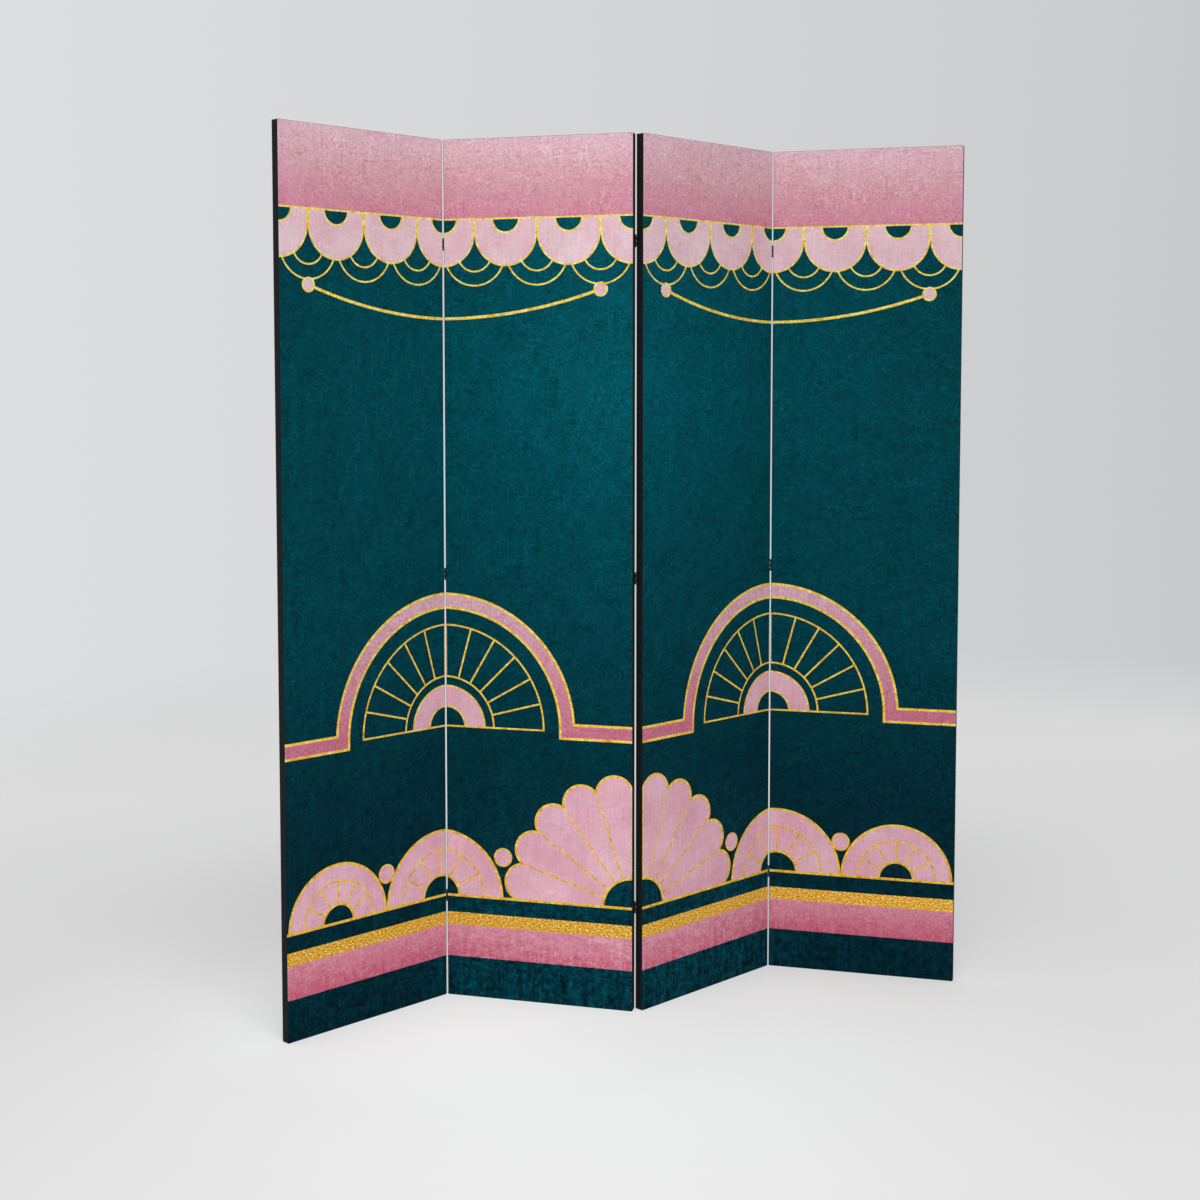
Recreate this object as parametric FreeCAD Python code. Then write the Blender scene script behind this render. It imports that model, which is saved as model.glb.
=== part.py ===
import FreeCAD, Part
import math
import os

# Lengths are in millimetres and angles in degrees.
# A panel is drawn standing straight: x runs from its left end to its right end as seen from the
# printed side, y from the printed face at 0 to the back, and z up from the foot.

# The whole screen. The panels stand in a zigzag, each turned by panel_turn from the screen's line.
panel_width = 400.0
panel_height = 1780.0
panel_thickness = 19.0
panel_turn = 30.0

# Cloth stretched over both sides, and the tape that covers the edges.
canvas_thickness = 0.5
tape_thickness = 0.5

# Timber frame, with rails tenoned into the stiles.
stile_width = 32.0
rail_width = 32.0
tenon_thickness = 6.0
tenon_width = 18.0
tenon_length = 18.0
mortise_end_gap = 1.0

# Staples that hold the turned edges of the printed canvas.
staple_crown = 10.0
staple_leg = 8.0
staple_wire = 0.7
staple_band = 1.0
outer_span_staple_count = 2
inner_span_staple_count = 5
rail_staple_count = 3

# Butt hinges, three to a fold.
hinge_inset = 212.0
hinge_length = 25.4
leaf_width = 12.0
leaf_thickness = 0.6
leaf_corner_radius = 1.5
knuckle_radius = 1.2
knuckle_count = 5
knuckle_gap = 0.2
knuckle_clearance = 0.4
pin_radius = 0.6
pin_clearance = 0.05
pin_standoff = 0.4

# Countersunk screws, two to a leaf.
screw_length = 11.0
screw_point_length = 2.5
screw_shank_radius = 1.0
screw_head_radius = 1.6
screw_clearance = 0.06
screw_row = 7.0
screw_spacing = 13.0
recess_length = 1.9
recess_width = 0.45
recess_depth = 0.5

# How far a cutting solid runs past the face that it cuts.
overrun = 1.0

# Which face the pins of each fold stand at, and which panel's leaves hold them.
fold_faces = {1: "front", 2: "back", 3: "front"}
pin_panels = {1: 2, 2: 2, 3: 3}
panel_count = len(fold_faces) + 1

# Places that several pieces share.
edge_cover = canvas_thickness + tape_thickness
frame_x = (edge_cover, panel_width - edge_cover)
frame_y = (canvas_thickness, panel_thickness - canvas_thickness)
frame_z = (edge_cover, panel_height - edge_cover)
stile_inner_x = edge_cover + stile_width
middle_y = panel_thickness / 2
rail_feet = {
    "top": frame_z[1] - rail_width,
    "middle": (panel_height - rail_width) / 2,
    "bottom": frame_z[0],
}
hinge_heights = {
    "top": panel_height - hinge_inset,
    "middle": panel_height / 2,
    "bottom": hinge_inset,
}


def block(x, y, z):
    """A box between two limits along each axis."""
    corner = FreeCAD.Vector(x[0], y[0], z[0])
    return Part.makeBox(x[1] - x[0], y[1] - y[0], z[1] - z[0], corner)


def centred(middle, width):
    """The two limits of a width about its middle."""
    return (middle - width / 2, middle + width / 2)


def from_other_end(shape):
    """A piece of the left end, mirrored to the right end of the panel."""
    return shape.mirror(FreeCAD.Vector(panel_width / 2, 0, 0), FreeCAD.Vector(1, 0, 0))


# Timber frame.


def tenon_limits(rail_foot):
    """The tenon's limits along y and z, which its mortise shares."""
    return centred(middle_y, tenon_thickness), centred(rail_foot + rail_width / 2, tenon_width)


def rail(name):
    """A cross member with a tenon at each end."""
    foot = rail_feet[name]
    inner_end = panel_width - stile_inner_x
    body = block((stile_inner_x, inner_end), frame_y, (foot, foot + rail_width))
    tenon_y, tenon_z = tenon_limits(foot)
    tenons = block((stile_inner_x - tenon_length, inner_end + tenon_length), tenon_y, tenon_z)
    return body.fuse(tenons).removeSplitter()


def stile(end):
    """An upright with a blind mortise for each rail."""
    shape = block((frame_x[0], stile_inner_x), frame_y, frame_z)
    mortise_x = (stile_inner_x - tenon_length - mortise_end_gap, stile_inner_x + overrun)
    for foot in rail_feet.values():
        tenon_y, tenon_z = tenon_limits(foot)
        shape = shape.cut(block(mortise_x, tenon_y, tenon_z))
    return from_other_end(shape) if end == "right" else shape


# Cloth and tape.


def front_canvas():
    """The printed canvas: a sheet over the front, turned over the frame's four edges."""
    outer_x = (tape_thickness, panel_width - tape_thickness)
    outer_z = (tape_thickness, panel_height - tape_thickness)
    outer = block(outer_x, (0, frame_y[1]), outer_z)
    return outer.cut(block(frame_x, (frame_y[0], frame_y[1] + overrun), frame_z))


def back_cloth():
    """The black cloth over the back, out to the turned canvas."""
    outer_x = (tape_thickness, panel_width - tape_thickness)
    outer_z = (tape_thickness, panel_height - tape_thickness)
    return block(outer_x, (frame_y[1], panel_thickness), outer_z)


def edge_tape():
    """Four lengths of tape round the edges. The upright ones run full height."""
    depth = (0, panel_thickness)
    left = block((0, tape_thickness), depth, (0, panel_height))
    between = (tape_thickness, panel_width - tape_thickness)
    foot = block(between, depth, (0, tape_thickness))
    top = block(between, depth, (panel_height - tape_thickness, panel_height))
    return Part.makeCompound([left, from_other_end(left), foot, top])


# Staples, driven until the crown is level with the cloth.


def staple(middle, inward, along):
    """A wire staple: its crown lies along an edge at middle, and its legs go inward."""
    half_crown = staple_crown / 2
    tip = canvas_thickness + staple_leg
    outline = [
        (0, -half_crown),
        (0, half_crown),
        (tip, half_crown),
        (tip, half_crown - staple_wire),
        (canvas_thickness, half_crown - staple_wire),
        (canvas_thickness, staple_wire - half_crown),
        (tip, staple_wire - half_crown),
        (tip, -half_crown),
        (0, -half_crown),
    ]
    start = middle - FreeCAD.Vector(0, staple_band / 2, 0)
    points = [start + inward * depth + along * place for depth, place in outline]
    return Part.Face(Part.makePolygon(points)).extrude(FreeCAD.Vector(0, staple_band, 0))


def spread(low, high, count):
    """Evenly spaced places between two limits, half a step from each."""
    step = (high - low) / count
    return [low + step * (number + 1 / 2) for number in range(count)]


def staples():
    """All the staples of one panel, between the hinges up both ends and along both rails."""
    across = FreeCAD.Vector(1, 0, 0)
    up = FreeCAD.Vector(0, 0, 1)
    heights = (
        spread(tape_thickness, hinge_heights["bottom"], outer_span_staple_count)
        + spread(hinge_heights["bottom"], hinge_heights["middle"], inner_span_staple_count)
        + spread(hinge_heights["middle"], hinge_heights["top"], inner_span_staple_count)
        + spread(hinge_heights["top"], panel_height - tape_thickness, outer_span_staple_count)
    )
    shapes = []
    for height in heights:
        left = staple(FreeCAD.Vector(tape_thickness, middle_y, height), across, up)
        shapes += [left, from_other_end(left)]
    for place in spread(stile_inner_x, panel_width - stile_inner_x, rail_staple_count):
        foot = FreeCAD.Vector(place, middle_y, tape_thickness)
        top = FreeCAD.Vector(place, middle_y, panel_height - tape_thickness)
        shapes += [staple(foot, up, across), staple(top, -up, across)]
    return shapes


# Hinges. A hinge is drawn with its pin upright at the origin, for the right end of a panel whose
# pins stand at the printed face, and at_fold moves it to any end, face and height.


def at_fold(shape, end, face, height):
    """Moves a piece of a hinge from the drawing to its place on a panel."""
    pin = FreeCAD.Vector(panel_width + knuckle_radius, -pin_standoff, height)
    origin = FreeCAD.Vector(0, 0, 0)
    if end == "left":
        shape = shape.mirror(origin, FreeCAD.Vector(1, 0, 0))
        pin.x = -knuckle_radius
    if face == "back":
        shape = shape.mirror(origin, FreeCAD.Vector(0, 1, 0))
        pin.y = panel_thickness + pin_standoff
    return shape.translated(pin)


def knuckle(low, high):
    """One knuckle, rolled from the leaf: a ring on the pin's axis with a tab to the plate."""
    outer_x = -knuckle_radius
    inner_x = leaf_thickness - knuckle_radius
    meet_y = math.sqrt(knuckle_radius**2 - inner_x**2)
    plate_y = knuckle_radius + knuckle_clearance
    tab_start = FreeCAD.Vector(outer_x, plate_y, low)
    roll_start = FreeCAD.Vector(outer_x, 0, low)
    roll_middle = FreeCAD.Vector(knuckle_radius, 0, low)
    roll_end = FreeCAD.Vector(inner_x, meet_y, low)
    tab_end = FreeCAD.Vector(inner_x, plate_y, low)
    edges = [
        Part.makeLine(tab_start, roll_start),
        Part.Arc(roll_start, roll_middle, roll_end).toShape(),
        Part.makeLine(roll_end, tab_end),
        Part.makeLine(tab_end, tab_start),
    ]
    return Part.Face(Part.Wire(edges)).extrude(FreeCAD.Vector(0, 0, high - low))


def leaf(first_knuckle):
    """A leaf with every second knuckle, bored for the pin and countersunk for two screws."""
    plate_x = (-knuckle_radius, leaf_thickness - knuckle_radius)
    plate_y = (knuckle_radius + knuckle_clearance, leaf_width)
    shape = block(plate_x, plate_y, centred(0, hinge_length))
    corners = [
        edge
        for edge in shape.Edges
        if min(vertex.Y for vertex in edge.Vertexes) > screw_row
        and edge.Vertexes[0].X != edge.Vertexes[1].X
    ]
    shape = shape.makeFillet(leaf_corner_radius, corners)
    pitch = hinge_length / knuckle_count
    for number in range(first_knuckle, knuckle_count, 2):
        low = number * pitch - hinge_length / 2
        shape = shape.fuse(knuckle(low + knuckle_gap / 2, low + pitch - knuckle_gap / 2))
    shape = shape.removeSplitter()
    bore_start = FreeCAD.Vector(0, 0, -hinge_length / 2 - overrun)
    bore = Part.makeCylinder(pin_radius + pin_clearance, hinge_length + 2 * overrun, bore_start)
    shape = shape.cut(bore)
    for height in centred(0, screw_spacing):
        shape = shape.cut(screw_hole(height))
    return shape


def pin(place):
    """A hinge pin, as long as its knuckles."""
    foot = place - FreeCAD.Vector(0, 0, hinge_length / 2)
    return Part.makeCylinder(pin_radius, hinge_length, foot)


# Screws. The head is as deep as the leaf is thick, so it lies level with the leaf.


def screw_body(height, growth):
    """A countersunk screw pointing along -x. A growth above 0 makes the hole that it fits."""
    inward = FreeCAD.Vector(-1, 0, 0)
    head = FreeCAD.Vector(leaf_thickness - knuckle_radius, screw_row, height)
    neck = head + inward * leaf_thickness
    point = head + inward * (screw_length - screw_point_length)
    head_radius = screw_head_radius + growth
    shank_radius = screw_shank_radius + growth
    shank_length = screw_length - screw_point_length - leaf_thickness
    parts = [
        Part.makeCylinder(shank_radius, shank_length, neck, inward),
        Part.makeCone(shank_radius, growth, screw_point_length + growth, point, inward),
    ]
    return Part.makeCone(head_radius, shank_radius, leaf_thickness, head, inward).fuse(parts)


def screw_hole(height):
    """The hole for one screw through leaf, tape and canvas into the stile."""
    mouth = FreeCAD.Vector(leaf_thickness - knuckle_radius, screw_row, height)
    outward = FreeCAD.Vector(1, 0, 0)
    opening = Part.makeCylinder(screw_head_radius + screw_clearance, overrun, mouth, outward)
    return screw_body(height, screw_clearance).fuse(opening)


def screw(height):
    """A screw with a cross recess in its head."""
    face_x = leaf_thickness - knuckle_radius
    recess_x = (face_x - recess_depth, face_x + overrun)
    upright = block(recess_x, centred(screw_row, recess_width), centred(height, recess_length))
    level = block(recess_x, centred(screw_row, recess_length), centred(height, recess_width))
    return screw_body(height, 0).cut(upright.fuse(level))


# One panel with all that is fixed to it.


def folds_of(panel):
    """The folds at the panel's ends, as (end, fold)."""
    ends = [("left", panel - 1), ("right", panel)]
    return [(end, fold) for end, fold in ends if fold in fold_faces]


def on_hinges(panel, make):
    """What make draws for each screw, at every hinge of the panel."""
    shapes = []
    for end, fold in folds_of(panel):
        for hinge_height in hinge_heights.values():
            for height in centred(0, screw_spacing):
                shapes.append(at_fold(make(height), end, fold_faces[fold], hinge_height))
    return shapes


def panel_nodes(panel):
    """Every node of one panel, drawn standing straight."""
    prefix = f"panel_{panel}_"
    wires = staples()
    holes = on_hinges(panel, screw_hole)
    nodes = {prefix + "back_cloth": back_cloth()}
    for end in ("left", "right"):
        nodes[prefix + end + "_stile"] = stile(end).cut(wires + holes)
    for name in rail_feet:
        nodes[prefix + name + "_rail"] = rail(name).cut(wires)
    nodes[prefix + "front_canvas"] = front_canvas().cut(wires + holes)
    tapes = [strip.cut(holes) for strip in edge_tape().Solids]
    nodes[prefix + "edge_tape"] = Part.makeCompound(tapes)
    nodes[prefix + "staples"] = Part.makeCompound(wires)
    nodes[prefix + "hinge_screws"] = Part.makeCompound(on_hinges(panel, screw))
    for end, fold in folds_of(panel):
        side = "left" if end == "right" else "right"
        first_knuckle = 0 if pin_panels[fold] == panel else 1
        drawn = leaf(first_knuckle)
        for place, height in hinge_heights.items():
            moved = at_fold(drawn, end, fold_faces[fold], height)
            nodes[f"fold_{fold}_{place}_{side}_leaf"] = moved
    return nodes


# The zigzag. Each panel's left pin stands on the right pin of the panel before it.


def pin_on_panel(end, face):
    """A pin's foot in the drawing of a panel."""
    place = at_fold(Part.Vertex(0, 0, 0), end, face, 0)
    return place.Vertexes[0].Point


def zigzag():
    """The placement of each panel and the foot of each fold's pin, before centring."""
    placements = {}
    pins = {}
    joint = FreeCAD.Vector(0, 0, 0)
    for panel in range(1, panel_count + 1):
        turn = panel_turn if panel % 2 else -panel_turn
        rotation = FreeCAD.Rotation(FreeCAD.Vector(0, 0, 1), turn)
        drawn = pin_on_panel("left", fold_faces[panel - 1]) if panel > 1 else joint
        placements[panel] = FreeCAD.Placement(joint - rotation.multVec(drawn), rotation)
        if panel in fold_faces:
            joint = placements[panel].multVec(pin_on_panel("right", fold_faces[panel]))
            pins[panel] = joint
    return placements, pins


def footprint_centre(placements):
    """The middle of the box round all panels, on the floor."""
    corners = [
        placement.multVec(FreeCAD.Vector(x, y, 0))
        for placement in placements.values()
        for x in (0, panel_width)
        for y in (0, panel_thickness)
    ]
    xs = [corner.x for corner in corners]
    ys = [corner.y for corner in corners]
    return FreeCAD.Vector((min(xs) + max(xs)) / 2, (min(ys) + max(ys)) / 2, 0)


def placed(shape, placement):
    """The shape moved from the drawing to its place in the screen."""
    moved = shape.copy()
    moved.Placement = placement.multiply(moved.Placement)
    return moved


os.makedirs("parts", exist_ok=True)

# The origin is on the floor, in the middle of the box round the screen.
placements, pins = zigzag()
to_origin = -footprint_centre(placements)
nodes = {}
for panel, placement in placements.items():
    placement.move(to_origin)
    for name, shape in panel_nodes(panel).items():
        nodes[name] = placed(shape, placement)

pin_groups = {}
for fold, foot in pins.items():
    pins[fold] = foot + to_origin
    for height in hinge_heights.values():
        group = pin_groups.setdefault(f"panel_{pin_panels[fold]}_hinge_pins", [])
        group.append(pin(pins[fold] + FreeCAD.Vector(0, 0, height)))
for name, shapes in pin_groups.items():
    nodes[name] = Part.makeCompound(shapes)

for name, shape in sorted(nodes.items()):
    if not shape.isValid():
        raise ValueError(f"{name} is not a valid shape")
    shape.exportStep(f"parts/{name}.step")
for fold, foot in pins.items():
    print(f"fold {fold} pin at x {foot.x:.3f}, y {foot.y:.3f}")
for panel, placement in placements.items():
    foot = placement.multVec(FreeCAD.Vector(panel_width / 2, panel_thickness / 2, 0))
    print(f"panel {panel} foot centre at x {foot.x:.3f}, y {foot.y:.3f}")
print(f"{len(nodes)} nodes")
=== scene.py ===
import math

import bmesh
import bpy
from mathutils import Matrix, Vector
from mathutils.geometry import delaunay_2d_cdt


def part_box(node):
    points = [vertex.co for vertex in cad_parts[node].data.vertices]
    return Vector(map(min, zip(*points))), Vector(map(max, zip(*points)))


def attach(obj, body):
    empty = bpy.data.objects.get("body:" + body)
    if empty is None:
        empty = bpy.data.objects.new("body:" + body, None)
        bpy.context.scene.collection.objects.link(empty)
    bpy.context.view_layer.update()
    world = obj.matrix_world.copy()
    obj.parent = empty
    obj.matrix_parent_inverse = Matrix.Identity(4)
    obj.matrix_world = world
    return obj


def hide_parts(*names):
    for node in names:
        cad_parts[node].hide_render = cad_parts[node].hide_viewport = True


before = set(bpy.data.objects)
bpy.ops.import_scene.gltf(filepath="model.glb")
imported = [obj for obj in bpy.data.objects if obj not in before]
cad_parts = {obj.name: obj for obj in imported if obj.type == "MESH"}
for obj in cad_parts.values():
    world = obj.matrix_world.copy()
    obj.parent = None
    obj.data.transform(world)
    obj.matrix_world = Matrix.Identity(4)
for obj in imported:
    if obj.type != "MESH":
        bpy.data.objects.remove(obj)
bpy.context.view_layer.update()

# Timber frames. Each panel stands on a frame of planed pine, two stiles and three rails, joined
# with glued blind tenons. The rails' grain runs across the panel and the stiles' grain upright.
panel_numbers = (1, 2, 3, 4)
panel_turn = math.radians(30)
stiles = ("left_stile", "right_stile")
rails = ("top_rail", "middle_rail", "bottom_rail")
pine_streak_width = 0.0011
pine_streak_length = 0.11
pine_ring_width = 0.0065
pine_ring_bend = 2.4
pine_ring_share = 0.55
pine_streak_share = 0.45
pine_relief = 0.0002


def turn_of(panel):
    """How far a panel is turned from the screen's line, alternately one way and the other."""
    return panel_turn if panel % 2 else -panel_turn


def colour(code):
    """The shader's colour for a screen colour, such as "e6c79c"."""
    screen = [int(code[start:start + 2], 16) / 255 for start in (0, 2, 4)]
    light = [c / 12.92 if c < 0.04045 else ((c + 0.055) / 1.055) ** 2.4 for c in screen]
    return (*light, 1)


def new_material(name, roughness):
    """A material of the given roughness, with the usual surface shader."""
    material = bpy.data.materials.new(name)
    material.use_nodes = True
    surface(material).inputs["Roughness"].default_value = roughness
    return material


def surface(material):
    """The material's surface shader."""
    return material.node_tree.nodes["Principled BSDF"]


def add_node(material, kind, sockets=None, **settings):
    """A new shader node, whose sockets get plain values or other nodes' outputs."""
    made = material.node_tree.nodes.new("ShaderNode" + kind)
    for name, value in settings.items():
        setattr(made, name, value)
    for name, value in (sockets or {}).items():
        if isinstance(value, bpy.types.NodeSocket):
            material.node_tree.links.new(value, made.inputs[name])
        else:
            made.inputs[name].default_value = value
    return made


def calc(material, operation, *values):
    """The outcome of a sum on shader values."""
    return add_node(material, "Math", dict(enumerate(values)), operation=operation).outputs[0]


def noise(material, place, size, detail=2.0, roughness=0.5):
    """Cloudy noise from 0 to 1, in patches of about the given size."""
    sockets = {"Vector": place, "Scale": 1 / size, "Detail": detail, "Roughness": roughness}
    return add_node(material, "TexNoise", sockets).outputs["Fac"]


def ramp(material, value, stops):
    """Colours blended along a value from 0 to 1, from stops of (place, screen colour)."""
    made = add_node(material, "ValToRGB", {"Fac": value})
    elements = made.color_ramp.elements
    elements.remove(elements[1])
    elements[0].position = stops[0][0]
    elements[0].color = colour(stops[0][1])
    for place, code in stops[1:]:
        elements.new(place).color = colour(code)
    return made.outputs["Color"]


def scaled(material, place, scale):
    """A place with its axes stretched or squeezed."""
    return add_node(material, "Mapping", {"Vector": place, "Scale": scale}).outputs[0]


def join(material, output, name):
    """Joins an output to one of the surface shader's inputs."""
    material.node_tree.links.new(output, surface(material).inputs[name])


def roughen(material, height, depth):
    """Raises the surface by a height from 0 to 1 times a depth."""
    made = add_node(material, "Bump", {"Height": height, "Distance": depth})
    join(material, made.outputs["Normal"], "Normal")


def pine(name, turn, stretch):
    """Planed pine. The stretch is the grain's size along the panel's own three axes."""
    material = new_material(name, 0.62)
    where = add_node(material, "TexCoord").outputs["Object"]
    turned = add_node(material, "VectorRotate", {"Vector": where, "Angle": -turn})
    grain = scaled(material, turned.outputs[0], [1 / size for size in stretch])
    streaks = noise(material, grain, 1.0, 3.0)
    bowed = {"Vector": grain, "Scale": pine_streak_width / pine_ring_width,
             "Distortion": pine_ring_bend}
    rings = add_node(material, "TexWave", bowed, wave_type="RINGS").outputs["Fac"]
    shade = calc(material, "MULTIPLY", streaks, pine_streak_share)
    shade = calc(material, "MULTIPLY_ADD", rings, pine_ring_share, shade)
    stops = [(0.10, "dcbc88"), (0.50, "e8cfa2"), (0.90, "c79c63")]
    join(material, ramp(material, shade, stops), "Base Color")
    roughen(material, streaks, pine_relief)
    return material


def finish_node(name, material):
    """Gives a ready piece of the frame its material."""
    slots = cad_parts[name].data.materials
    slots.clear()
    slots.append(material)


def timbers(panel, parts=stiles + rails):
    """The names of a panel's timbers, of all five or of some."""
    return [f"panel_{panel}_{part}" for part in parts]


streak = (pine_streak_width, pine_streak_width, pine_streak_length)
for side, turn in (("left", panel_turn), ("right", -panel_turn)):
    stile_pine = pine("pine_stile_turned_" + side, turn, streak)
    rail_pine = pine("pine_rail_turned_" + side, turn, streak[::-1])
    for panel in panel_numbers:
        if turn_of(panel) == turn:
            for name in timbers(panel, stiles):
                finish_node(name, stile_pine)
            for name in timbers(panel, rails):
                finish_node(name, rail_pine)

# Printed canvases. One polyester canvas to a panel, printed edge to edge, stretched over the front
# of the frame and turned back over its four edges. The print runs on from panel to panel.
# A point of the print is (along, height): along the whole screen, and up from its foot.
panel_width = 0.400
panel_height = 1.780
panel_thickness = 0.019
screen_length = panel_width * len(panel_numbers)
ridge = screen_length / 2
valleys = (panel_width, screen_length - panel_width)
bleed = 0.03
curve_tolerance = 0.00005

print_shapes = []


def ink(name, points):
    """Prints a closed outline in one ink over all that lies there, turned anticlockwise."""
    area = sum(a[0] * b[1] - b[0] * a[1] for a, b in zip(points, points[1:] + points[:1]))
    print_shapes.append((name, points if area > 0 else points[::-1]))


def band(name, low, high):
    """A straight stripe along the whole screen."""
    ends = (-bleed, screen_length + bleed)
    ink(name, [(ends[0], low), (ends[1], low), (ends[1], high), (ends[0], high)])


def around(middle, radius, angle):
    """The point at a distance from a middle, at an angle in radians."""
    return (middle[0] + radius * math.cos(angle), middle[1] + radius * math.sin(angle))


def arc(middle, radius, start, end):
    """Points along an arc, from one angle to another in degrees, both ends included."""
    step = 2 * math.acos(1 - curve_tolerance / radius)
    count = math.ceil(abs(math.radians(end - start)) / step)
    angles = [math.radians(start + (end - start) * i / count) for i in range(count + 1)]
    return [around(middle, radius, angle) for angle in angles]


def disc(name, middle, radius):
    """A round disc."""
    ink(name, arc(middle, radius, 0, 360)[:-1])


def rimmed_disc(name, middle, radius, line):
    """A disc with a gold rim."""
    disc("gold", middle, radius)
    disc(name, middle, radius - line)


def half_disc(name, middle, radius, start=0):
    """Half a disc, standing on its flat side, or hanging from it with a start of 180."""
    ink(name, arc(middle, radius, start, start + 180))


def rimmed_half_disc(name, middle, radius, line, start=0):
    """Half a disc with a gold rim along its round side."""
    half_disc("gold", middle, radius, start)
    half_disc(name, middle, radius - line, start)


def stroke(name, path, width):
    """A line of even width along a path of points, with mitred corners."""
    sides = ([], [])
    for number, point in enumerate(path):
        here = Vector(point)
        before = Vector(path[max(number - 1, 0)])
        after = Vector(path[min(number + 1, len(path) - 1)])
        heading_in = (here - before).normalized() if before != here else None
        heading_out = (after - here).normalized() if after != here else heading_in
        heading_in = heading_in or heading_out
        mitre = (heading_in + heading_out).normalized()
        reach = width / 2 / mitre.dot(heading_in)
        across = Vector((-mitre.y, mitre.x)) * reach
        sides[0].append(tuple(here + across))
        sides[1].append(tuple(here - across))
    ink(name, sides[0] + sides[1][::-1])


# The print, from the back of the picture to its front. First a garland of gold line with a bead
# at each end, a fringe of tongues in two rows that hangs from the rose border, and the border.
teal_ground = (-bleed, panel_height + bleed)
border_foot = 1.618
tongues_to_panel = 3
tongue_pitch = panel_width / tongues_to_panel
tongue_radius = tongue_pitch / 2
tongue_drop = 0.030
tongue_row_drop = 0.040
tongue_line = 0.0034
tongue_eye = 0.030
tongue_ring = 0.038
garland_line = 0.0058
garland_bead = 0.0150
garland_end = tongue_pitch / 2
garland_sag = 0.056
garland_gap = 0.0090
lower_row_height = border_foot - tongue_drop - tongue_row_drop
garland_height = lower_row_height - tongue_radius - garland_gap


def tongue(name, middle, radius, root):
    """A tongue with a round end, hanging from its root."""
    ends = [(middle[0] + radius, root), (middle[0] - radius, root)]
    ink(name, arc(middle, radius, 180, 360) + ends)


band("teal", *teal_ground)
for first in (0, ridge):
    half_span = (ridge - 2 * garland_end) / 2
    radius = (half_span**2 + garland_sag**2) / (2 * garland_sag)
    middle = (first + ridge / 2, garland_height - garland_sag + radius)
    turn = math.degrees(math.asin(half_span / radius))
    stroke("gold", arc(middle, radius, 270 - turn, 270 + turn), garland_line)
tongue_count = tongues_to_panel * len(panel_numbers)
for number in range(tongue_count):
    middle = ((number + 0.5) * tongue_pitch, lower_row_height)
    rimmed_disc("teal", middle, tongue_radius, tongue_line)
    rimmed_disc("teal", middle, tongue_ring, tongue_line)
for number in range(tongue_count + 1):
    middle = (number * tongue_pitch, border_foot - tongue_drop)
    tongue("gold", middle, tongue_radius, border_foot)
    tongue("blush", middle, tongue_radius - tongue_line, border_foot)
    rimmed_half_disc("teal", (middle[0], border_foot), tongue_eye, tongue_line, 180)
for first in (0, ridge):
    for along in (first + garland_end, first + ridge - garland_end):
        rimmed_disc("blush", (along, garland_height), garland_bead, tongue_line)
band("rose", border_foot, teal_ground[1])
band("gold", border_foot - tongue_line / 2, border_foot + tongue_line / 2)

# The rose moulding, which rises in an arch over each valley fold, with a rising sun under it.
moulding_height = 0.572
moulding_width = 0.034
moulding_line = 0.0052
arch_radius = 0.262
sun_radius = 0.086
sun_eye = 0.043
ray_limits = (0.104, 0.212)
ray_line = 0.0036
sun_part_count = 12


def rays(middle, limits, part_count):
    """Fine gold rays, from one distance to another, that part a half disc evenly."""
    for number in range(1, part_count):
        angle = math.pi * number / part_count
        stroke("gold", [around(middle, limit, angle) for limit in limits], ray_line)


path = [(-bleed, moulding_height)]
for valley in valleys:
    path += arc((valley, moulding_height), arch_radius, 180, 0)
path.append((screen_length + bleed, moulding_height))
stroke("gold", path, moulding_width)
stroke("rose", path, moulding_width - 2 * moulding_line)
for valley in valleys:
    middle = (valley, moulding_height)
    for limit in ray_limits:
        stroke("gold", arc(middle, limit, 0, 180), ray_line)
    rays(middle, ray_limits, sun_part_count)
    rimmed_half_disc("blush", middle, sun_radius, ray_line)
    rimmed_half_disc("teal", middle, sun_eye, ray_line)
    base = ray_limits[1] + ray_line / 2
    stroke("gold", [(valley - base, moulding_height), (valley + base, moulding_height)], ray_line)

# A row of blush fans that stands on the fine foot line, smaller to the ends of the screen, with a
# bead in each notch, and a scalloped shell on the ridge.
row_foot = 0.214
fan_radii = (0.140, 0.120)
fan_line = 0.0050
fan_eye_share = 0.33
fan_ring_share = 0.70
fan_part_count = 6
bead_radius = 0.0200
bead_rise_share = 0.62
shell_radius = 0.235
shell_lobe_count = 10
shell_eye = 0.064

lobe_angle = math.pi / shell_lobe_count
lobe_radius = shell_radius * math.sin(lobe_angle / 2)
shell_reach = shell_radius + lobe_radius + fan_line
for side in (-1, 1):
    fan_end = shell_reach
    for fan_radius in fan_radii:
        middle = (ridge + side * (fan_end + fan_radius), row_foot)
        notch = (ridge + side * fan_end, row_foot + bead_rise_share * fan_radius)
        eye = fan_radius * fan_eye_share
        ring = fan_radius * fan_ring_share
        rimmed_half_disc("blush", middle, fan_radius, fan_line)
        stroke("gold", arc(middle, ring, 0, 180), ray_line)
        rays(middle, (eye, ring), fan_part_count)
        rimmed_half_disc("teal", middle, eye, fan_line)
        rimmed_disc("blush", notch, bead_radius, tongue_line)
        fan_end += 2 * fan_radius
shell_middle = (ridge, row_foot)
for name, radius in (("gold", lobe_radius + fan_line), ("blush", lobe_radius)):
    for number in range(shell_lobe_count):
        disc(name, around(shell_middle, shell_radius, lobe_angle * (number + 0.5)), radius)
half_disc("blush", shell_middle, shell_radius)
rays(shell_middle, (shell_eye, shell_radius), shell_lobe_count)
rimmed_half_disc("teal", shell_middle, shell_eye, fan_line)

# The foot's stripes: a fine gold line, a broad gold stripe, a rose stripe and the teal foot.
foot_line = (0.2110, 0.2164)
gold_stripe = (0.151, 0.178)
rose_stripe = (0.084, 0.151)

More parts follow.
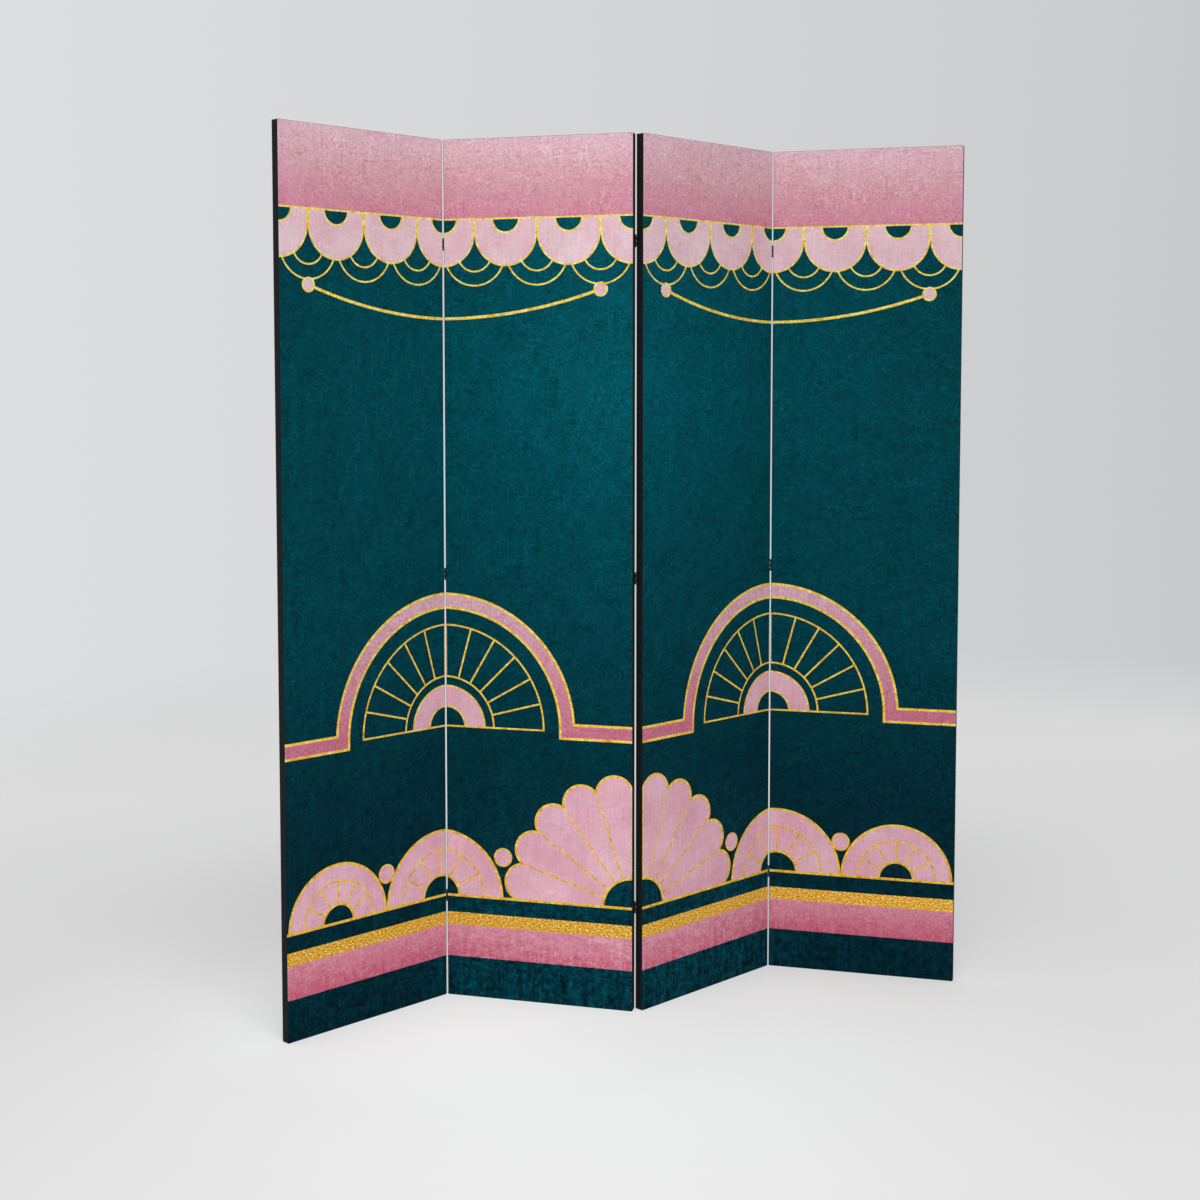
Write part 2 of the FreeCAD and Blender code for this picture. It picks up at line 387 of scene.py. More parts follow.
band("teal", -bleed, foot_line[0])
band("gold", *foot_line)
band("gold_foil", *gold_stripe)
band("rose", *rose_stripe)

# The sheet of canvas. Its core lies flat on the front, and the rest bends over the edges.
tape_thickness = 0.0005
canvas_bend = 0.0010
canvas_turned_depth = 0.0175
canvas_inset = tape_thickness + canvas_bend
core_half_width = panel_width / 2 - canvas_inset
core_foot = canvas_inset
core_top = panel_height - canvas_inset
corner_steps = 6


def panel_middle(panel):
    """Where the middle of a panel lies along the print."""
    return (panel - 0.5) * panel_width


def round_cornered(half_width, foot, top, radius):
    """The outline at a radius round an upright rectangle, so that it has round corners."""
    corners = [((half_width, top), 0), ((-half_width, top), 90),
               ((-half_width, foot), 180), ((half_width, foot), 270)]
    points = []
    for corner, start in corners:
        for number in range(corner_steps + 1):
            angle = math.radians(start + 90 * number / corner_steps)
            points.append(around(corner, radius, angle))
    return points


def stretched(x, z):
    """Where a point of the flat sheet lies once it is stretched over the frame and turned back."""
    core_x = min(max(x, -core_half_width), core_half_width)
    on_core = Vector((core_x, min(max(z, core_foot), core_top)))
    past = Vector((x, z)) - on_core
    angle = min(past.length / canvas_bend, math.pi / 2)
    outward = past.normalized() * canvas_bend * math.sin(angle)
    turned = canvas_bend * (1 - math.cos(angle))
    turned += max(past.length - canvas_bend * math.pi / 2, 0)
    return (on_core.x + outward.x, turned - panel_thickness / 2, on_core.y + outward.y)


def panel_place(panel):
    """The panel's place in the screen, from its own middle on the floor."""
    low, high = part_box(f"panel_{panel}_edge_tape")
    middle = (low + high) / 2
    middle.z = 0
    return Matrix.Translation(middle) @ Matrix.Rotation(turn_of(panel), 4, "Z")


def new_piece(name, panel, points, faces):
    """A mesh piece drawn in its panel's own axes, and put in its place in the screen."""
    mesh = bpy.data.meshes.new(name)
    place = panel_place(panel)
    mesh.from_pydata([place @ Vector(point) for point in points], [], faces)
    piece = bpy.data.objects.new(name, mesh)
    bpy.context.scene.collection.objects.link(piece)
    return piece


def map_flat(piece, name, flat):
    """A flat map of a piece: flat gives each vertex's place on it."""
    layer = piece.data.uv_layers.new(name=name)
    for loop in piece.data.loops:
        layer.data[loop.index].uv = flat[loop.vertex_index]


def tidy_faces(piece):
    """Drops a mesh's loose points and turns its faces outward."""
    shaped = bmesh.new()
    shaped.from_mesh(piece.data)
    loose = [vertex for vertex in shaped.verts if not vertex.link_faces]
    bmesh.ops.delete(shaped, geom=loose, context="VERTS")
    bmesh.ops.recalc_face_normals(shaped, faces=shaped.faces)
    shaped.to_mesh(piece.data)
    shaped.free()


# The weave, which shows through every ink.
canvas_thread_pitch = 0.0007
canvas_relief = 0.00008


def parted(material, place):
    """A place's single values, such as how far along the print it lies, and how far up."""
    return add_node(material, "SeparateXYZ", {0: place}).outputs


def weave(material, place, pitch):
    """The height, from 0 to 1, of plain weave with threads a pitch apart both ways."""
    axes = parted(material, place)
    across, along = [
        calc(material, "SINE", calc(material, "MULTIPLY", axes[axis], math.pi / pitch))
        for axis in (0, 1)
    ]
    over = calc(material, "MULTIPLY", across, along)
    warp_up = calc(material, "MULTIPLY_ADD", over, 0.5, 0.5)
    weft_up = calc(material, "MULTIPLY_ADD", over, -0.5, 0.5)
    warp = calc(material, "MULTIPLY", calc(material, "ABSOLUTE", across), warp_up)
    weft = calc(material, "MULTIPLY", calc(material, "ABSOLUTE", along), weft_up)
    return calc(material, "MAXIMUM", warp, weft)


def blend(material, share, first, second, way="MIX"):
    """One colour blended over another by a share."""
    sockets = {0: share, 6: first, 7: second}
    return add_node(material, "Mix", sockets, data_type="RGBA", blend_type=way).outputs[2]


def grey(material, value):
    """A value as a colour."""
    return add_node(material, "CombineColor", {0: value, 1: value, 2: value}).outputs[0]


def level_between(material, value, low, high, new_low=0.0, new_high=1.0):
    """A value brought from one range into another, and held in it."""
    sockets = {"Value": value, "From Min": low, "From Max": high,
               "To Min": new_low, "To Max": new_high}
    return add_node(material, "MapRange", sockets).outputs[0]


def printed(name, roughness):
    """A canvas material, and the place on the print that its nodes read."""
    material = new_material(name, roughness)
    surface(material).inputs["Specular IOR Level"].default_value = 0.04
    place = add_node(material, "UVMap", uv_map="print").outputs["UV"]
    roughen(material, weave(material, place, canvas_thread_pitch), canvas_relief)
    return material, place


# How uneven the inks are: in clouds, and in mottles, grain and brushed streaks that are strong in
# some patches and weak in others. Over this lies a painted shade that deepens towards the screen's
# right end, where the light falls off.
cloud_size = 0.075
patch_size = 0.055
patch_limits = (0.34, 0.66)
patch_strengths = (0.50, 1.45)
mottle_size = 0.019
grain_size = 0.0058
speck_size = 0.0070
speck_patch_share = 0.40
speck_limits = (0.05, 0.13)
speck_depth = 1.5
streak_size = 0.005
streak_stretches = ((1, 0.07, 1), (0.10, 1, 1))
streak_shares = (0.06, 0.04)
shading_roughness = 0.62
usual_noise = (0.30, 0.70)
painted_falloff_places = (0.45 * screen_length, screen_length)
painted_falloff_shades = (1.02, 0.885)


def shading(material, place, size, detail, share):
    """Noise that makes a colour lighter and darker by up to a share."""
    layer = noise(material, place, size, detail, shading_roughness)
    return level_between(material, layer, *usual_noise, 1 - share, 1 + share)


def uneven(material, place, base, clouds, mottles, grain, parts=(1, 1, 1)):
    """A colour made lighter and darker in clouds, in mottles, in grain and in brushed streaks.

    All but the clouds are strong in worn patches and weak elsewhere, and the patches also have
    small dark specks. The parts are how much of all this red, green and blue take. Last, a painted
    shade darkens the colour a little towards the screen's right end, where the light falls off.
    """
    upright, sideways = [scaled(material, place, stretch) for stretch in streak_stretches]
    shade = 1.0
    for where, size, detail, share in ((place, mottle_size, 4.0, mottles),
                                       (place, grain_size, 2.0, grain),
                                       (upright, streak_size, 2.0, streak_shares[0]),
                                       (sideways, streak_size, 2.0, streak_shares[1])):
        layer = shading(material, where, size, detail, share)
        shade = calc(material, "MULTIPLY", shade, layer)
    patches = noise(material, place, patch_size, 4.0, shading_roughness)
    worn = level_between(material, patches, *patch_limits, *patch_strengths)
    shade = calc(material, "MULTIPLY_ADD", calc(material, "SUBTRACT", shade, 1.0), worn, 1.0)
    shade = calc(material, "MULTIPLY", shade, shading(material, place, cloud_size, 3.0, clouds))
    fine = noise(material, place, speck_size, 3.0, 0.60)
    specks = calc(material, "MULTIPLY_ADD", patches, -speck_patch_share, fine)
    specks = level_between(material, specks, *speck_limits, 1 - speck_depth * grain, 1.0)
    shade = calc(material, "MULTIPLY", shade, specks)
    levels = [calc(material, "MULTIPLY_ADD", shade, part, 1 - part) for part in parts]
    tint = add_node(material, "CombineColor", dict(enumerate(levels))).outputs[0]
    # Painted shade: the colour darkens towards the screen's right end, where the light falls off.
    painted_falloff = level_between(material, parted(material, place)[0], *painted_falloff_places, *painted_falloff_shades)
    uneven_base = blend(material, 1.0, base, tint, "MULTIPLY")
    return blend(material, 1.0, uneven_base, grey(material, painted_falloff), "MULTIPLY")


# The rubbing: pale grain and streaks near the foot, strongest near the ridge. A pair of values
# gives where it starts and where it ends.
rub_heights = (0.50, 0.14)
rub_reach = (0.35, 0.50)
rub_strengths = (1.0, 0.40)
rub_streak_size = 0.012
rub_streak_stretch = (1, 0.14, 1)
rub_streak_share = 0.35
rub_grain_size = 0.015
rub_limits = (0.60, 0.78)


def from_ridge(material, along):
    """How far a point of the print lies from the ridge, either way."""
    return calc(material, "ABSOLUTE", calc(material, "SUBTRACT", along, ridge))


def rubbed(material, place, axes):
    """How far the print is rubbed pale, from 0 to 1."""
    streaked = scaled(material, place, rub_streak_stretch)
    streaks = noise(material, streaked, rub_streak_size, 4.0, 0.66)
    grains = noise(material, place, rub_grain_size, 6.0, 0.88)
    pale = calc(material, "MULTIPLY_ADD", streaks, rub_streak_share, grains)
    pale = level_between(material, pale, *rub_limits)
    near_foot = level_between(material, axes[1], *rub_heights)
    off_ridge = from_ridge(material, axes[0])
    near_ridge = level_between(material, off_ridge, *rub_reach, *rub_strengths)
    return calc(material, "MULTIPLY", calc(material, "MULTIPLY", pale, near_foot), near_ridge)


# The five inks. Screen colours change up the print, and the teal also to the screen's ends.
ink_roughness = 0.85
gold_roughness = 0.60
teal_reach = (0.05, 0.78)
rose_drift = 0.020
rose_drift_size = 0.030
smudge_limits = (0.05, 1.0)
smudge_shares = (0.0, 0.34)
border_shade_rises = (0.075, 0.142)
blush_patch_size = 0.09
blush_heights = (0.45, 1.40)
gold_turn_size = 0.012
foil_fleck_size = 0.0031
foil_fleck_stretch = (0.6, 1, 1)


def teal_ink():
    """Teal that is brightest high on the ridge, darkens to the ends and is blotched at the foot."""
    material, place = printed("print_teal", ink_roughness)
    axes = parted(material, place)
    height = calc(material, "DIVIDE", axes[1], panel_height)
    middle = ramp(material, height, [(0.00, "001822"), (0.20, "012b35"), (0.42, "003e49"),
                                     (0.72, "00545f"), (0.92, "014c57")])
    outer = ramp(material, height, [(0.00, "001b25"), (0.20, "012731"), (0.42, "00404b"),
                                    (0.72, "00434c"), (0.92, "003f48")])
    share = level_between(material, from_ridge(material, axes[0]), *teal_reach)
    base = blend(material, share, middle, outer)
    base = blend(material, rubbed(material, place, axes), base, colour("014c5a"))
    base = uneven(material, place, base, clouds=0.12, mottles=0.26, grain=0.37)
    join(material, base, "Base Color")
    return material


def rose_ink():
    """Rose that pales upward, in the border, in the moulding and in the foot's stripe."""
    material, place = printed("print_rose", ink_roughness)
    axes = parted(material, place)
    drift = noise(material, place, rose_drift_size, 5.0, 0.65)
    drift = calc(material, "MULTIPLY_ADD", drift, 2 * rose_drift, -rose_drift)
    height = calc(material, "DIVIDE", calc(material, "ADD", axes[1], drift), panel_height)
    stops = [(rose_stripe[0], "c95d77"), (rose_stripe[1], "d98b9e"),
             (moulding_height, "c9748a"), (moulding_height + arch_radius, "dcaebb"),
             (border_foot, "cf879b"), (border_foot + border_shade_rises[0], "d39eab"),
             (border_foot + border_shade_rises[1], "dab2bc")]
    base = ramp(material, height, [(stop / panel_height, code) for stop, code in stops])
    smudges = rubbed(material, place, axes)
    smudges = level_between(material, smudges, *smudge_limits, *smudge_shares)
    base = blend(material, smudges, base, colour("ecc3ce"))
    parts = (0.45, 1.35, 1.2)
    base = uneven(material, place, base, clouds=0.05, mottles=0.10, grain=0.20, parts=parts)
    join(material, base, "Base Color")
    return material


def blush_ink():
    """Pale blush, paler still in the fringe."""
    material, place = printed("print_blush", ink_roughness)
    patches = noise(material, place, blush_patch_size, 3.0)
    at_foot = ramp(material, patches, [(0.30, "e1a6b7"), (0.70, "e9bbc9")])
    in_fringe = ramp(material, patches, [(0.30, "deb3be"), (0.70, "e6cad1")])
    share = level_between(material, parted(material, place)[1], *blush_heights)
    base = blend(material, share, at_foot, in_fringe)
    base = uneven(material, place, base, clouds=0.03, mottles=0.05, grain=0.07)
    join(material, base, "Base Color")
    return material


def gold_ink():
    """Gold for the lines: yellow that turns orange here and there, and deepens downwards."""
    material, place = printed("print_gold", gold_roughness)
    turns = noise(material, place, gold_turn_size, 4.0, 0.65)
    stops = [(0.32, "e59a1c"), (0.43, "f2c248"), (0.54, "fadf66"), (0.68, "fff394")]
    base = ramp(material, turns, stops)
    height = calc(material, "DIVIDE", parted(material, place)[1], panel_height)
    depth = ramp(material, height, [(0.12, "f5e2a8"), (0.35, "fff5d8"), (0.90, "f8ffff")])
    base = blend(material, 1.0, base, depth, "MULTIPLY")
    base = uneven(material, place, base, clouds=0.02, mottles=0.08, grain=0.22)
    join(material, base, "Base Color")
    return material


def gold_foil():
    """Crumpled gold foil for the broad stripe, in flecks of painted glints and painted shade."""
    material, place = printed("print_gold_foil", gold_roughness)
    crinkles = scaled(material, place, foil_fleck_stretch)
    flecks = noise(material, crinkles, foil_fleck_size, 2.0, 0.70)
    # The foil's own gold is mid-ramp; the brightest flecks are painted glints, the darkest painted
    # shade of its crinkles.
    stops = [(0.28, "ae5400"), (0.42, "d68e12"), (0.55, "e9b738"), (0.66, "fffcb4")]
    join(material, ramp(material, flecks, stops), "Base Color")
    return material


inks = {"teal": teal_ink(), "rose": rose_ink(), "blush": blush_ink(), "gold": gold_ink(),
        "gold_foil": gold_foil()}
ink_names = list(inks)

# The sheet as it is cut, and its second flat map, in four strips that lie two by two.
canvas_overlap = canvas_bend * math.pi / 2 + canvas_turned_depth - canvas_bend
canvas_cut = tuple(side - 2 * canvas_inset + 2 * canvas_overlap
                   for side in (panel_width, panel_height))
canvas_reach = panel_width / 2 + canvas_overlap
canvas_foot = (panel_height - canvas_cut[1]) / 2
bend_steps = 4
merge_distance = 0.00001
strip_count = 4
strip_height = canvas_cut[1] / strip_count
strip_share = 0.49
strip_margin_share = 0.005


def canvas_flat(panel):
    """The flat sheet of one panel, cut into triangles of one ink each."""
    points = []
    edges = []
    faces = []

    def add_face(outline):
        faces.append(list(range(len(points), len(points) + len(outline))))
        points.extend(Vector(point) for point in outline)

    core = (core_half_width, core_foot, core_top)
    add_face(round_cornered(*core, canvas_overlap))
    inks_used = [ink_names.index("teal")]
    for name, outline in print_shapes:
        local = [(along - panel_middle(panel), height) for along, height in outline]
        if min(local)[0] < canvas_reach and max(local)[0] > -canvas_reach:
            add_face(local)
            inks_used.append(ink_names.index(name))
    for number in range(bend_steps + 1):
        ring = round_cornered(*core, canvas_bend * math.pi / 2 * number / bend_steps)
        start = len(points)
        points.extend(Vector(point) for point in ring)
        edges += [(start + i, start + (i + 1) % len(ring)) for i in range(len(ring))]
    for number in range(1, strip_count):
        height = canvas_foot + strip_height * number
        edges.append((len(points), len(points) + 1))
        points.extend((Vector((-canvas_reach, height)), Vector((canvas_reach, height))))
    # Of the shapes that a triangle comes from, 0 is the sheet, and the last is printed on top.
    inside_only = 1
    made = delaunay_2d_cdt(points, edges, faces, inside_only, merge_distance, True)
    flat, triangles, sources = made[0], made[2], made[5]
    kept = [i for i, source in enumerate(sources) if 0 in source]
    return flat, [triangles[i] for i in kept], [inks_used[max(sources[i])] for i in kept]


def map_strips(canvas, flat):
    """The second flat map. A triangle belongs to the strip that its middle lies in."""
    scale = strip_share / strip_height
    layer = canvas.data.uv_layers.new(name="OFBake")
    for triangle in canvas.data.polygons:
        middle = sum(flat[corner].y for corner in triangle.vertices) / 3
        strip = min(int((middle - canvas_foot) / strip_height), strip_count - 1)
        middle_u = strip_margin_share + 0.5 * (strip % 2) + scale * canvas_cut[0] / 2
        low_v = strip_margin_share + 0.5 * (strip // 2)
        strip_foot = canvas_foot + strip * strip_height
        for loop in triangle.loop_indices:
            point = flat[canvas.data.loops[loop].vertex_index]
            layer.data[loop].uv = (middle_u + scale * point.x, low_v + scale * (point.y - strip_foot))


for panel in panel_numbers:
    flat, triangles, ink_numbers = canvas_flat(panel)
    stretched_points = [stretched(point.x, point.y) for point in flat]
    canvas = new_piece(f"panel_{panel}_printed_canvas", panel, stretched_points, triangles)
    for name in ink_names:
        canvas.data.materials.append(inks[name])
    canvas.data.polygons.foreach_set("material_index", ink_numbers)
    map_flat(canvas, "print", [(point.x + panel_middle(panel), point.y) for point in flat])
    map_strips(canvas, flat)
    tidy_faces(canvas)
    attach(canvas, f"panel_{panel}")
    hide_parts(f"panel_{panel}_front_canvas")

# Staples. Bright steel wire, shot through the canvas's turned edges into the frame's own edges,
# all round each panel. The tape hides them.
wire_mark_size = 0.0008
wire_roughness = (0.25, 0.42)

staple_wire = new_material("staple_wire", 0.32)
surface(staple_wire).inputs["Metallic"].default_value = 1.0
where = add_node(staple_wire, "TexCoord").outputs["Object"]
drawn = noise(staple_wire, where, wire_mark_size, 2.0)
join(staple_wire, ramp(staple_wire, drawn, [(0.3, "a8aaac"), (0.7, "c9cbcc")]), "Base Color")
join(staple_wire, level_between(staple_wire, drawn, *usual_noise, *wire_roughness), "Roughness")
for panel in panel_numbers:
    finish_node(f"panel_{panel}_staples", staple_wire)

# Back cloths. Thin black cotton over the back of each frame, under the tape at its edges. It lies
# on the timber, and sinks a little into the open bays between the stiles and the rails.
back_cloth_depth = 0.0003
back_cloth_margin = 0.0010
back_cloth_sag = 0.0013
back_cloth_cell = 0.010
cotton_thread_pitch = 0.0009
cotton_relief = 0.00012
dust_patch_size = 0.12
slubs_per_metre = (9, 260, 1)
dust_share = 0.25
slub_share = 0.25
thread_hollow_shade_share = 0.35
backing_light_share = 0.22
timber_width = 0.033
timber_ease = 0.045
timber_shade_fade = 0.006


def settled(gap):
    """From 0 on the timber to 1 well away from it, for a distance from its inner edge."""
    share = min(max(gap / timber_ease, 0.0), 1.0)
    return share * share * (3 - 2 * share)


def spaced(low, high, size):
    """Even places from low to high, about a size apart, both ends included."""
    count = round((high - low) / size)
    return [low + (high - low) * i / count for i in range(count + 1)]


def black_cloth():
    """Black cotton in plain weave, a little dusty in patches, with painted shade and light."""
    material = new_material("black_cloth", 0.88)
    shader = surface(material)
    shader.inputs["Specular IOR Level"].default_value = 0.20
    shader.inputs["Sheen Weight"].default_value = 0.12
    shader.inputs["Sheen Roughness"].default_value = 0.45
    place = add_node(material, "UVMap", uv_map="cloth").outputs["UV"]
    threads = weave(material, place, cotton_thread_pitch)
    patches = noise(material, place, dust_patch_size, 3.0)
    slubs = noise(material, scaled(material, place, slubs_per_metre), 1.0, 2.0)
    axes = parted(material, place)
    aside = calc(material, "ABSOLUTE", axes[0])
    above = calc(material, "ABSOLUTE", calc(material, "SUBTRACT", axes[1], panel_height / 2))
    # Painted light: the cloth is paler where timber backs it, as if light came back through the thin
    # cotton off the wood.
    painted_backing_light = 0.0
    for value, edge, side in ((aside, panel_width / 2 - timber_width, 1),
                              (above, panel_height / 2 - timber_width, 1),
                              (above, timber_width / 2, -1)):
        on_timber = level_between(material, value, edge - side * timber_shade_fade, edge)
        painted_backing_light = calc(material, "MAXIMUM", painted_backing_light, on_timber)
    # The weave's raised threads are painted paler and its hollows darker: painted shade.
    shade = calc(material, "MULTIPLY", slubs, slub_share)
    for layer, layer_share in ((patches, dust_share), (threads, thread_hollow_shade_share),
                               (painted_backing_light, backing_light_share)):
        shade = calc(material, "MULTIPLY_ADD", layer, layer_share, shade)
    join(material, ramp(material, shade, [(0.15, "1b1b1d"), (0.95, "3b3b3e")]), "Base Color")
    roughen(material, threads, cotton_relief)
    return material


cloth_material = black_cloth()
back_cloth_cut = tuple(side - 2 * back_cloth_margin for side in (panel_width, panel_height))
columns = spaced(-back_cloth_cut[0] / 2, back_cloth_cut[0] / 2, back_cloth_cell)
rows = spaced(back_cloth_margin, panel_height - back_cloth_margin, back_cloth_cell)
for panel in panel_numbers:
    points = []
    for z in rows:
        for x in columns:
            from_stile = panel_width / 2 - timber_width - abs(x)
            from_end_rail = min(z, panel_height - z) - timber_width
            from_middle_rail = abs(z - panel_height / 2) - timber_width / 2
            sunk = back_cloth_sag * settled(from_stile)
            sunk *= settled(from_end_rail) * settled(from_middle_rail)
            points.append((x, panel_thickness / 2 - back_cloth_depth - sunk, z))
    wide = len(columns)
    faces = []
    for row in range(len(rows) - 1):
        for column in range(wide - 1):
            start = row * wide + column
            faces.append((start, start + wide, start + wide + 1, start + 1))
    cloth = new_piece(f"panel_{panel}_black_back_cloth", panel, points, faces)
    cloth.data.materials.append(cloth_material)
    cloth.data.shade_smooth()
    map_flat(cloth, "cloth", [(x, z) for z in rows for x in columns])
    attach(cloth, f"panel_{panel}")
    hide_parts(f"panel_{panel}_back_cloth")

# Edge tape. Black woven tape glued round the four edges of each panel. It covers the staples and
# the canvas's turned edges, and laps over the rim of the back cloth.
tape_front_gap = 0.0006
tape_glue_gap = 0.00005
tape_corner = 0.0015
tape_least_corner = 0.00005
tape_bend = 0.0009
tape_lap = 0.0070
tape_lap_rise = 0.00012
tape_bend_steps = 4
tape_sharp_angle = math.radians(40)
tape_run_cell = 0.030
tape_rib_pitch = 0.0011
tape_thread_pitch = 0.00055
tape_relief = 0.00015
tape_rib_share = 0.6
tape_patch_size = 0.02
tape_patch_share = 0.5
tape_hollow_shade_share = 0.6


def tape_outline(inset):
    """The panel's outline moved in by an inset, with small round corners."""
    radius = max(tape_corner - inset, tape_least_corner)
    x = panel_width / 2 - inset - radius
    return round_cornered(x, inset + radius, panel_height - inset - radius, radius)


def along_runs(points):
    """The outline's points with more along its straight runs, the same for every inset."""
    dense = []
    for number, (x, z) in enumerate(points):
        after_x, after_z = points[(number + 1) % len(points)]
        dense.append((x, z))
        if math.dist((x, z), (after_x, after_z)) > tape_run_cell:
            upright = abs(after_z - z) > abs(after_x - x)
            count = round((panel_height if upright else panel_width) / tape_run_cell)
            dense += [(x + (after_x - x) * i / count, z + (after_z - z) * i / count)
                      for i in range(1, count)]
    return dense


def run_along(points):
    """How far each point lies along the line through them all."""
    run = [0.0]
    for before, after in zip(points, points[1:]):
        run.append(run[-1] + math.dist(before, after))
    return run


def tape_section():
    """The tape's section as (inset, depth): outer side from front to lap, then the inner side."""
    front = tape_front_gap - panel_thickness / 2
    back = panel_thickness / 2 + tape_lap_rise
    sides = []
    for inset in (0.0, tape_thickness - tape_glue_gap):
        bend = tape_bend - inset
        side = [(inset, front)]
        for number in range(tape_bend_steps + 1):
            angle = math.radians(90 * number / tape_bend_steps)
            depth = back - tape_bend + bend * math.sin(angle)
            side.append((tape_bend - bend * math.cos(angle), depth))
        sides.append(side + [(tape_lap, back - inset)])
    return sides


def black_tape():
    """Black cotton tape with fine ribs across it, and painted shade between ribs and threads."""
    material = new_material("black_tape", 0.84)
    surface(material).inputs["Specular IOR Level"].default_value = 0.12
    place = add_node(material, "UVMap", uv_map="cloth").outputs["UV"]
    along = parted(material, place)[1]
    ribs = calc(material, "MULTIPLY", along, 2 * math.pi / tape_rib_pitch)
    ribs = calc(material, "MULTIPLY_ADD", calc(material, "SINE", ribs), 0.5, 0.5)
    threads = weave(material, place, tape_thread_pitch)
    height = calc(material, "MULTIPLY", threads, 1 - tape_rib_share)
    height = calc(material, "MULTIPLY_ADD", ribs, tape_rib_share, height)
    patches = noise(material, place, tape_patch_size, 3.0)
    # The raised tops of ribs and threads are painted paler and the hollows between them darker:
    # painted shade.
    shade = calc(material, "MULTIPLY", patches, tape_patch_share)
    shade = calc(material, "MULTIPLY_ADD", height, tape_hollow_shade_share, shade)
    join(material, ramp(material, shade, [(0.1, "0d0e0f"), (0.95, "222426")]), "Base Color")
    roughen(material, height, tape_relief)
    return material


tape_material = black_tape()
outer_side, inner_side = tape_section()
section = outer_side + inner_side[::-1]
section_run = run_along(section)
for panel in panel_numbers:
    outlines = [along_runs(tape_outline(inset)) for inset, depth in section]
    count = len(outlines[0])
    run = run_along(outlines[0])
    points = [(outline[i][0], depth, outline[i][1])
              for outline, (inset, depth) in zip(outlines, section) for i in range(count)]
    faces = []
    for ring in range(len(section)):
        following = (ring + 1) % len(section)
        for i in range(count):
            after = (i + 1) % count
            faces.append((ring * count + i, ring * count + after,
                          following * count + after, following * count + i))
    tape = new_piece(f"panel_{panel}_black_edge_tape", panel, points, faces)
    tape.data.materials.append(tape_material)
    map_flat(tape, "cloth", [(across, run[i]) for across in section_run for i in range(count)])
    tidy_faces(tape)
    tape.data.shade_smooth()
    tape.data.set_sharp_from_angle(angle=tape_sharp_angle)
    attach(tape, f"panel_{panel}")
    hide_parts(f"panel_{panel}_edge_tape")

# Hinges. Small black steel butt hinges, three to a fold, screwed to the end faces over the tape.
# Each fold's pins stand at the printed faces or at the backs, so that the screen folds zigzag.
steel_wear_size = 0.004
steel_roughness = (0.32, 0.50)
paint_grain_size = 0.0006
paint_relief = 0.00003
screw_wear_size = 0.0012
screw_roughness = (0.26, 0.42)


def black_steel():
    """Satin black paint on steel, worn a little grey."""
    material = new_material("black_steel", 0.40)
    place = add_node(material, "TexCoord").outputs["Object"]
    wear = noise(material, place, steel_wear_size, 4.0)
    join(material, ramp(material, wear, [(0.35, "0f0f10"), (0.75, "1d1d1f")]), "Base Color")
    join(material, level_between(material, wear, *usual_noise, *steel_roughness), "Roughness")
    roughen(material, noise(material, place, paint_grain_size, 2.0), paint_relief)
    return material


def black_zinc():
    """Smooth black plating on the screws, brighter where a driver has turned them."""
    material = new_material("black_zinc", 0.30)
    surface(material).inputs["Metallic"].default_value = 0.6
    place = add_node(material, "TexCoord").outputs["Object"]
    wear = noise(material, place, screw_wear_size, 3.0)
    join(material, ramp(material, wear, [(0.40, "18181a"), (0.75, "3a3a3d")]), "Base Color")
    join(material, level_between(material, wear, *usual_noise, *screw_roughness), "Roughness")
    return material


hinge_material = black_steel()
screw_material = black_zinc()
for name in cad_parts:
    if name.startswith("fold_") or name.endswith("hinge_pins"):
        finish_node(name, hinge_material)
    if name.endswith("hinge_screws"):
        finish_node(name, screw_material)

# Floor. A wide studio floor in pale matt paint with painted light and shade, a hair below the
# screen's foot. It fades into the backdrop all round, and it takes the screen's soft shadow. A pair
# of values is where a change of shade starts and ends, or the shade at its start and end.
floor_drop = 0.0002
floor_radius = 5.4
floor_ring_count = 24
floor_sector_count = 72
floor_fade_middle = (0.6, 0.4, 0)
floor_fade_reach = (2.7, 4.5)
floor_paint_middle = (-0.05, -0.2, 0)
floor_glow_middle = (-0.36, 0.10, 0)
floor_glow_share = 0.50
floor_glow_depth = (-1.6, 1.0)
floor_glow_shades = (0.89, 0.70)
floor_fold_reach = (0.25, 0.60)
floor_fold_painted_light = (1.14, 1.0)
floor_front = (-1.0, -2.2)
floor_front_shades = (1.0, 0.74)
floor_right = (-0.40, 0.90)
floor_right_painted_shadow = (0.0, 0.065)
floor_left = (-0.90, -1.25)
floor_left_painted_shadow = (0.0, 0.045)
floor_painted_shadow_depth = (2.0, 0.20)


def seen_rays(material):
    """1 for the rays that show a thing to the camera, straight or in a gloss, and 0 for the rest."""
    rays = add_node(material, "LightPath").outputs
    seen = calc(material, "ADD", rays["Is Camera Ray"], rays["Is Glossy Ray"])
    seen = calc(material, "ADD", seen, rays["Is Transmission Ray"])
    return calc(material, "MINIMUM", seen, 1.0)


def measure(material, operation, first, second):
    """A single value from two vectors, such as the distance between them."""
    sockets = {0: first, 1: second}
    return add_node(material, "VectorMath", sockets, operation=operation).outputs["Value"]


